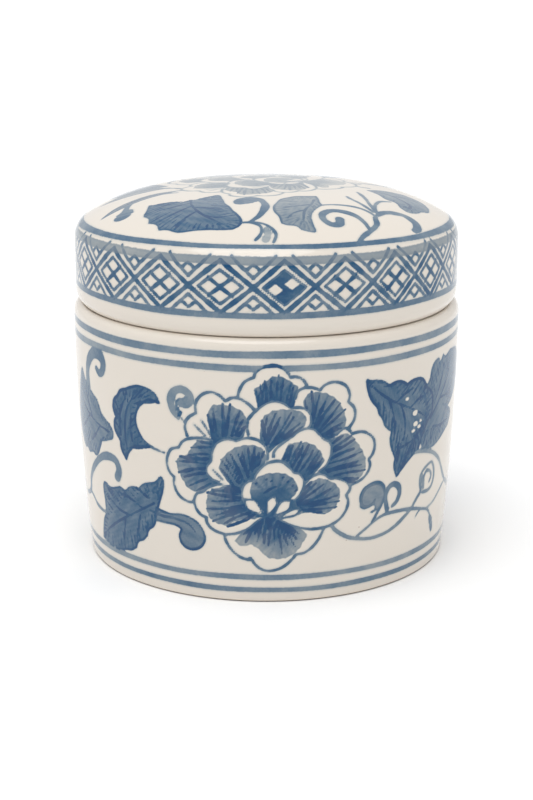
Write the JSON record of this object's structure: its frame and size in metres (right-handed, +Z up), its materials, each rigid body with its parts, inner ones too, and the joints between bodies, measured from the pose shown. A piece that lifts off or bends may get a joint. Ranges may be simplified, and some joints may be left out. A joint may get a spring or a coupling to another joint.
{
  "type": "lidded trinket box",
  "caption": "Round porcelain box with a bowed wall on a foot ring, and a domed lid that drops over a raised collar.",
  "frame": {"origin": "centre of the foot ring, on the surface that the box stands on", "axes": "+Z up, along the axis that the box is round about; -Y towards the painted front"},
  "size_m": [0.12, 0.12, 0.1153],
  "materials": {
    "body_porcelain": "warm white clear glaze over blue underglaze painting; the seat, collar edge and foot ring are bare fired clay",
    "lid_porcelain": "warm white clear glaze over blue underglaze painting; the rim that rests on the seat is bare fired clay"
  },
  "bodies": {
    "box_body": {"box_body": "body_porcelain"},
    "lid": {"lid": "lid_porcelain"}
  },
  "joints": [
    {"name": "lid_lift", "type": "slide", "parent": "box_body", "child": "lid", "axis": [0, 0, 1], "range_m": [0, 0.08]}
  ]
}
